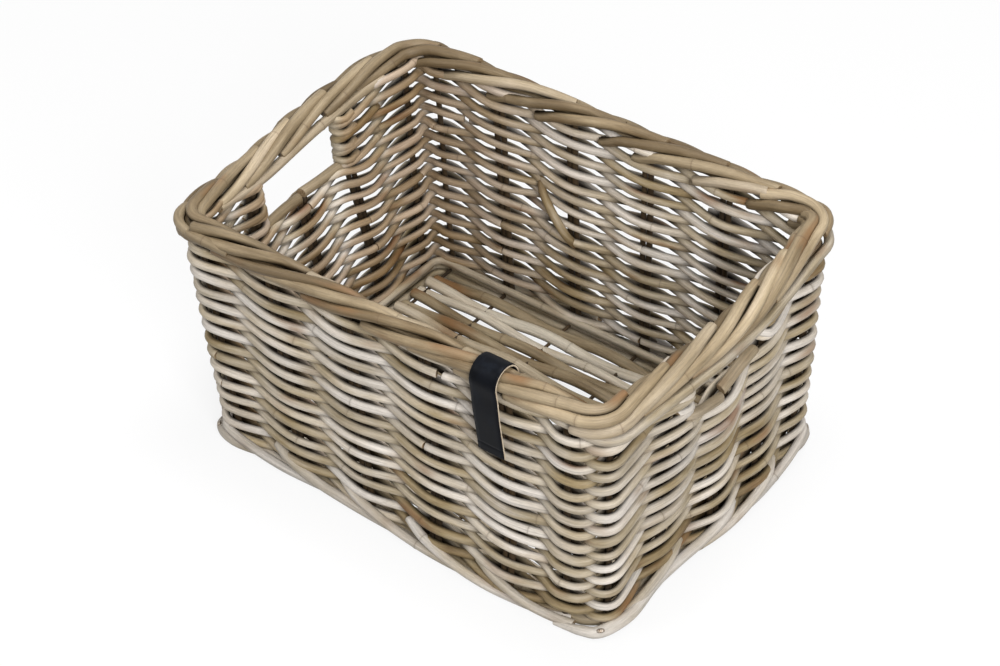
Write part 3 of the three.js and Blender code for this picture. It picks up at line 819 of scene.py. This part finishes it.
def under_rods(bundle):
    """A rod under the inner side of the border at each handle."""
    for start in (RIGHT, LEFT):
        t = np.linspace(start + 0.35, start + SHORT_SPANS - 0.3, 100)
        middle = 1 - smooth(0.3, 1.0, np.abs(2 * (t - start) / SHORT_SPANS - 1))
        path = at_rim(t, -3.0 - 1.5 * middle, RIM_CENTRE - 6.0 - 2.5 * middle)
        bundle.rod(path, RIM_UNDER, 0.5, sides=12)


def core_rods(bundle):
    """The long rods that the strands hide: one inside the near walls, and two end to end, of the
    darkest tone, that show as painted shade in the gaps between the strands.
    """
    t = np.linspace(FRONT - 0.7, BACK - 0.2, 300)
    n = rim_size("out", shortness(t)) - 8.0
    bundle.rod(at_rim(t, n, RIM_CENTRE - 2.0), RIM_UNDER, 0.7, sides=12)
    for half in range(2):
        t = np.linspace(half * COLUMNS / 2 + 0.4, (half + 1) * COLUMNS / 2 + 0.3, 300)
        core = at_rim(t, rim_size("out", shortness(t)), RIM_CENTRE - 0.5)
        # Darkest tone: painted shade in the gaps between the strands.
        bundle.rod(core, RIM_CORE, 0.95, spread=0.05, sides=8)


def rim_border():
    """A rolled border: cut strands that cross its top from the outside to the inside.

    On the front and the right they start low outside and end on top, where others go on inside. On
    the back and the left they start on top and end low inside, with short bowed rods outside them.
    """
    bundle = Bundle("rim")
    tops = rolled_strands(bundle)
    under_rods(bundle)
    bowed_rods(bundle)
    core_rods(bundle)
    inner_strands(bundle, tops)
    bundle.piece("rim_border", RIM_CANE, "rim_rattan",
                 ("rim_outer_hoop", "rim_inner_hoop", "rim_top_hoop"))


def handle_rods():
    """The pale rod that hangs under the outside of the border at each handle."""
    bundle = Bundle("handle rods")
    for start in (RIGHT, LEFT):
        t = np.linspace(start - 0.8, start + SHORT_SPANS + 0.5, 120)
        hang = shortness(t)
        n = rim_size("out", hang) + 3.0 + HANDLE_ROD["out"] * hang
        z = RIM_CENTRE - 5.0 + HANDLE_ROD["low"] * hang
        bundle.rod(at_rim(t, n, z), HANDLE_ROD["rod"], 0.38, 0.06, sides=12, taper=0.95)
    bundle.piece("handle_rods", WEAVER_CANE, "rim_rattan", ("left_handle_rod", "right_handle_rod"))


rim_border()
handle_rods()


# Handle sills

def handle_sills():
    """Two thick rods end to end along the foot of each handle opening."""
    bundle = Bundle("sills")
    for start, parts in ((RIGHT, RIGHT_SILL), (LEFT, LEFT_SILL)):
        for knots in parts:
            bundle.rod(curve([wall(start + t, SILL_LEVEL + rise, n) for t, n, rise in knots]),
                       SILL_RADIUS * bundle.random.uniform(0.97, 1.06), 0.5, sides=12)
    bundle.piece("handle_sills", RIM_CANE, "rim_rattan", ("left_handle_sill", "right_handle_sill"))


handle_sills()


# Foot border

def corner_out(corner):
    """How far out the rod that wraps a corner of the foot lies, most at the near corner."""
    return CORNER_ROD_OUT if corner == NEAR_CORNER else CORNER_ROD_OUT - 5.0


def foot_border():
    """Rods that leave the wall at each column, slant down and run along the bottom edge."""
    bundle = Bundle("foot")
    pick = bundle.random
    for _, start, spans, _, out_y in WALLS:
        way = 1 if out_y else -1
        for c in range(spans) if way > 0 else range(1, spans + 1):
            knots = [(start + c + u * way, n, z) for u, n, z in FOOT_ROD]
            knots = [knot for knot in knots if start - 0.5 < knot[0] < start + spans + 0.5]
            bundle.rod(curve([wall(u, z, n + pick.uniform(-0.6, 0.6)) for u, n, z in knots]),
                       FOOT_RADIUS * pick.uniform(0.92, 1.02), 0.25, sides=12, taper=0.92)
    for corner in CORNERS:
        out = corner_out(corner)
        level = CORNER_ROD_LEVEL
        knots = [(corner + 1.6, 5.0, level), (corner + 1.0, out - 5.0, level),
                 (corner + 0.5, out - 1.5, level), (corner, out, level),
                 (corner - 0.3, out - 1.2, 5.8), (corner - 0.55, out - 2.4, 4.6),
                 (corner - 0.8, out - 3.0, 3.0)]
        bundle.rod(curve([wall(t, z, n) for t, n, z in knots]), CORNER_ROD, 0.15, sides=14,
                   taper=[(0, 0.8), (0.5, 0.95), (0.68, 1.0), (0.85, 0.75), (1, 0.35)])
    bundle.piece("foot_border", WEAVER_CANE, "rim_rattan", ("foot_hoop",))


foot_border()


def foot_nails():
    """A domed nail head on the rod that wraps each corner of the foot."""
    points, faces = [], []
    profile = ((-2.5, NAIL_SHANK), (0.0, NAIL_HEAD), (0.5, NAIL_HEAD * 0.95), (1.0, NAIL_HEAD * 0.7),
               (1.25, NAIL_HEAD * 0.35))
    for corner in CORNERS:
        level = wall(corner, CORNER_ROD_LEVEL, 1.0) - wall(corner, CORNER_ROD_LEVEL)
        side = np.cross((0, 0, 1), level)
        out = math.cos(NAIL_TILT) * level + math.sin(NAIL_TILT) * np.array((0, 0, 1))
        rise = np.cross(out, side)
        middle = wall(corner, CORNER_ROD_LEVEL, corner_out(corner)) + out * (CORNER_ROD - NAIL_SINK)
        faces += tube_faces(len(points), len(profile), NAIL_SIDES)
        for high, wide in profile:
            for i in range(NAIL_SIDES):
                angle = 2 * math.pi * i / NAIL_SIDES
                points.append(middle + out * high + wide * (NAIL_OVAL[0] * math.cos(angle) * side
                                                            + NAIL_OVAL[1] * math.sin(angle) * rise))
    add_piece("foot_nails", points, faces, [0.0] * len(faces), nail_material(),
              [f"foot_nail_{i + 1}" for i in range(len(CORNERS))])


def nail_material():
    """Dull steel with spots of rust."""
    s = Shader(bpy.data.materials.new("nail_steel"))
    place = s.node("TexCoord").outputs["Object"]
    spots = s.noise(place, (900, 900, 900), 4.0)
    base = s.ramp(spots, [(0.35, colour(108, 84, 62)), (0.6, colour(168, 162, 152))])
    rough = s.node("MapRange", {0: spots, 1: 0.3, 2: 0.7, 3: 0.65, 4: 0.35})
    return s.finish(Base_Color=base, Metallic=0.85, Roughness=rough.outputs[0])


foot_nails()


# Floor

def base_ring():
    """The rods that the floor and the stakes stand on, and one that holds down the cross sticks."""
    bundle = Bundle("base ring")
    level = (BASE_LOW[2] + BASE_HIGH[2]) / 2
    inside = (BASE_HIGH - BASE_LOW)[1] / 2 - CAD_FOOT_ROD / 2 - FOOT_HALF[1]
    for out, from_column in ((inside, 0.3), (-1.0, 9.4)):
        t = np.linspace(from_column, from_column + COLUMNS - 0.1, 500)
        bundle.rod(wall(t, level + 0.2, out), level * 0.94, 0.5, sides=10)
    t = np.linspace(4.2, 4.1 + COLUMNS, 500)
    bundle.rod(wall(t, STICK_HIGH[2] + HOLD_DOWN, inside + 1.0), HOLD_DOWN, 0.75, sides=10)
    bundle.piece("base_ring", BASE_CANE, "base_rattan", ("base_hoop",))


def base_sticks():
    """The cross sticks under the floor rods."""
    bundle = Bundle("base sticks")
    nodes = [f"base_stick_{i + 1}" for i in range(LONG_SPANS + 1)]
    for node in nodes:
        low, high = node_box(node)
        middle = (low + high) / 2
        path = [(middle[0], low[1], middle[2]), (middle[0] + 1.0, 0.0, middle[2]),
                (middle[0], high[1], middle[2])]
        bundle.rod(curve(path, 6), (high[2] - low[2]) / 3, 0.5, sides=8)
    # The dark stake cane is partly the sticks' own colour and partly painted shade where they lie under
    # the floor rods.
    bundle.piece("base_sticks", STAKE_CANE, "stake_rattan", nodes)


def floor_rods():
    """Long rods woven over and under the cross sticks, from wall to wall."""
    bundle = Bundle("floor")
    pick = bundle.random
    low, high = node_box("base_weave")
    first, second = (np.mean(node_box(f"base_stick_{i}"), axis=0)[0] for i in (1, 2))
    level = (STICK_LOW[2] + STICK_HIGH[2]) / 2
    pitch = (high[1] - low[1]) / FLOOR_RODS
    for i in range(FLOOR_RODS):
        y = low[1] + pitch * (i + 0.5) + pick.uniform(-0.5, 0.5)
        share = y / (high[1] - low[1])
        left_out, _ = uneven(np.array(LEFT + SHORT_SPANS * (0.5 - share)), FLOOR_SIDE)
        right_out, _ = uneven(np.array(RIGHT + SHORT_SPANS * (0.5 + share)), FLOOR_SIDE)
        left = low[0] + left_out + pick.uniform(0.5, 3.5)
        right = high[0] + right_out - pick.uniform(0.5, 3.5)
        x = np.linspace(left, right, 240)
        _, front = uneven(FRONT + LONG_SPANS * (x - low[0]) / (high[0] - low[0]), FLOOR_SIDE)
        y = y + front * min(1, max(0, -2 * share))
        wave = np.cos(math.pi * (x - first) / (second - first)) * (-1) ** i
        z = level + FLOOR_WAVE * wave
        path = np.stack([x, y + 1.4 * np.sin(x / 50 + pick.uniform(0, 6)), z], axis=1)
        # The middle below each floor rod puts painted shade on its underside.
        below = path - (0, 0, WEAVE_DEPTH)
        bundle.rod(np.hstack([path, below]), pitch * 0.47 * pick.uniform(0.9, 1.06), 0.58, 0.4,
                   thick=0.85, sides=12)
    bundle.piece("floor_rods", BASE_CANE, "base_rattan", ("base_weave",))


base_ring()
base_sticks()
floor_rods()


# Leather strap

def strap():
    """A leather strap that hangs outside, bends over the rim and tucks in behind it."""
    middle = (STRAP_LOW[0] + STRAP_HIGH[0]) / 2
    bend = LONG_RIM["turn"] + LONG_RIM["rod"] + STRAP_THICK / 2 + 0.6
    low, high = STRAP_LOW[2], RIM_CENTRE
    knots = [(n, low + share * (high - low)) for share, n in STRAP_DROP]
    for degrees in range(0, 181, 20):
        angle = math.radians(degrees)
        knots.append((LONG_RIM["out"] + bend * math.cos(angle), high + bend * math.sin(angle)))
    knots.append((LONG_RIM["out"] - bend + 0.6, high - 7.0))
    path = curve([(0.0, n, z) for n, z in knots], 1.0)
    along = unit(np.gradient(path, axis=0))
    place = distances(path)
    half, thick = STRAP_WIDE / 2, STRAP_THICK / 2
    side_high = thick - STRAP_ROUND
    face = [(half * u, thick + 0.15 * (1 - u * u)) for u in STRAP_RIBS]
    face = [(-half + STRAP_ROUND, thick)] + face + [(half - STRAP_ROUND, thick)]
    section = [(-half, side_high)] + face + [(half, side_high), (half, -side_high)]
    section += [(wide, -thick) for wide, _ in reversed(face)] + [(-half, -side_high)]
    points = []
    for i in range(len(path)):
        press = 0.35 * math.exp(-((place[i] - STRAP_PRESS) / 0.7) ** 2)
        for wide, high_side in section:
            lift = high_side - (press if high_side > 0 else 0)
            n = path[i, 1] + along[i, 2] * lift
            z = path[i, 2] - along[i, 1] * lift
            side = wide + 0.12 * math.sin(place[i] / 9 + (2 if wide > 0 else 0))
            points.append((middle + side + STRAP_LEAN * (z - RIM_CENTRE), -(RIM_HALF[1] + n), z))
    count = len(section)
    on_edge = [abs(section[j][0] + section[(j + 1) % count][0]) > 2 * half - 0.1 for j in range(count)]
    edge = [float(on) for on in on_edge] * (len(path) - 1) + [1.0, 1.0]
    add_piece("strap", points, tube_faces(0, len(path), count), edge, leather_material(),
              ("label_strap",), (("edge", "FACE", edge),))


def leather_material():
    """Smooth dark leather with a fine grain, scuffs and pale cut edges."""
    s = Shader(bpy.data.materials.new("leather"))
    place = s.node("TexCoord").outputs["Object"]
    cells = s.node("TexVoronoi", {"Vector": place, "Scale": 1100.0}, feature="DISTANCE_TO_EDGE")
    cells = cells.outputs["Distance"]
    scuff = s.noise(place, (70, 70, 25), 4.0, 0.6)
    fibre = s.noise(place, (1500, 1500, 300), 3.0)
    base = s.ramp(scuff, [(0.3, colour(7, 8, 11)), (0.55, colour(12, 14, 19)),
                          (0.8, colour(24, 28, 35))])
    cut = s.ramp(fibre, [(0.3, colour(168, 150, 126)), (0.7, colour(216, 203, 182))])
    base = s.mix(s.attribute("edge"), base, cut)
    rough = s.node("MapRange", {0: scuff, 1: 0.3, 2: 0.7, 3: 0.36, 4: 0.5}).outputs[0]
    bump = s.node("Bump", {"Strength": 0.35, "Distance": 0.15 * MM, "Height": cells})
    return s.finish(Base_Color=base, Roughness=rough, Normal=bump.outputs[0], Specular_IOR_Level=0.05)


strap()


# Camera, light and floor

CAMERA_TURN = math.radians(39.98)
CAMERA_RISE = math.radians(40.62)
CAMERA_ROLL = math.radians(-3.15)
CAMERA_DISTANCE = 2116.94
CAMERA_TARGET = Vector((-1.12, -7.14, 116.75))
FOCAL_PIXELS = 2601.95
PICTURE_WIDTH = 1000
SENSOR_WIDTH = 36

# Stage, in metres: half the floor, and each lamp's name, place, size and watts
FLOOR_REACH = 6.0
FLOOR_TONE = (0.3, 0.8)  # how pale the floor is as it throws light back, and as it is seen
FLOOR_GLOW = 0.85
WORLD_LIGHT = (0.16, 1.0)  # how bright the world is as a light, and as it is seen
LAMPS = (("key", (1.8, -1.25, 1.5), 0.9, 63), ("fill", (-1.3, -1.4, 1.7), 1.2, 18),
         ("top", (0.2, 0.2, 2.3), 0.9, 37))
LAMP_AIM = Vector((0, 0, 0.12))


def set_camera():
    """The camera that took the photograph, fitted to the basket's outline in it."""
    data = bpy.data.cameras.new("camera")
    data.sensor_width = SENSOR_WIDTH
    data.lens = FOCAL_PIXELS / PICTURE_WIDTH * SENSOR_WIDTH
    data.clip_end = 20
    camera = bpy.data.objects.new("camera", data)
    bpy.context.scene.collection.objects.link(camera)
    camera.matrix_world = (Matrix.Translation(CAMERA_TARGET * MM)
                           @ Matrix.Rotation(CAMERA_TURN, 4, "Z")
                           @ Matrix.Rotation(math.pi / 2 - CAMERA_RISE, 4, "X")
                           @ Matrix.Rotation(CAMERA_ROLL, 4, "Z")
                           @ Matrix.Translation((0, 0, CAMERA_DISTANCE * MM)))
    bpy.context.scene.camera = camera


def set_floor():
    """A pale floor that the camera sees nearly white, with the basket's soft shadow."""
    corners = ((-1, -1), (1, -1), (1, 1), (-1, 1))
    mesh = bpy.data.meshes.new("floor")
    mesh.from_pydata([(x * FLOOR_REACH, y * FLOOR_REACH, 0) for x, y in corners], [], [(0, 1, 2, 3)])
    floor = bpy.data.objects.new("floor", mesh)
    bpy.context.scene.collection.objects.link(floor)
    s = Shader(bpy.data.materials.new("floor_white"))
    shown = s.seen()
    tone = s.node("MapRange", {0: shown, 3: FLOOR_TONE[0], 4: FLOOR_TONE[1]})
    diffuse = s.node("BsdfDiffuse", {"Color": tone.outputs[0]})
    glow = s.node("Emission", {"Color": grey(1.0), "Strength": 1.0})
    mix = s.node("MixShader", {0: s.math("MULTIPLY", shown, FLOOR_GLOW), 1: diffuse.outputs[0],
                               2: glow.outputs[0]})
    s.node("OutputMaterial", {"Surface": mix.outputs[0]})
    mesh.materials.append(s.owner)


def set_light():
    """A white world that lights the basket dimly, and three soft lamps."""
    s = Shader(bpy.data.worlds.new("studio"))
    bpy.context.scene.world = s.owner
    strength = s.node("MapRange", {0: s.seen(), 3: WORLD_LIGHT[0], 4: WORLD_LIGHT[1]})
    background = s.node("Background", {"Color": grey(1.0), "Strength": strength.outputs[0]})
    s.node("OutputWorld", {"Surface": background.outputs[0]})
    for name, place, size, power in LAMPS:
        data = bpy.data.lights.new(name, "AREA")
        data.size = size
        data.energy = power
        lamp = bpy.data.objects.new(name, data)
        lamp.location = place
        lamp.rotation_euler = (LAMP_AIM - Vector(place)).to_track_quat("-Z", "Y").to_euler()
        bpy.context.scene.collection.objects.link(lamp)


set_camera()
set_floor()
set_light()
bpy.context.scene.view_settings.view_transform = "Standard"
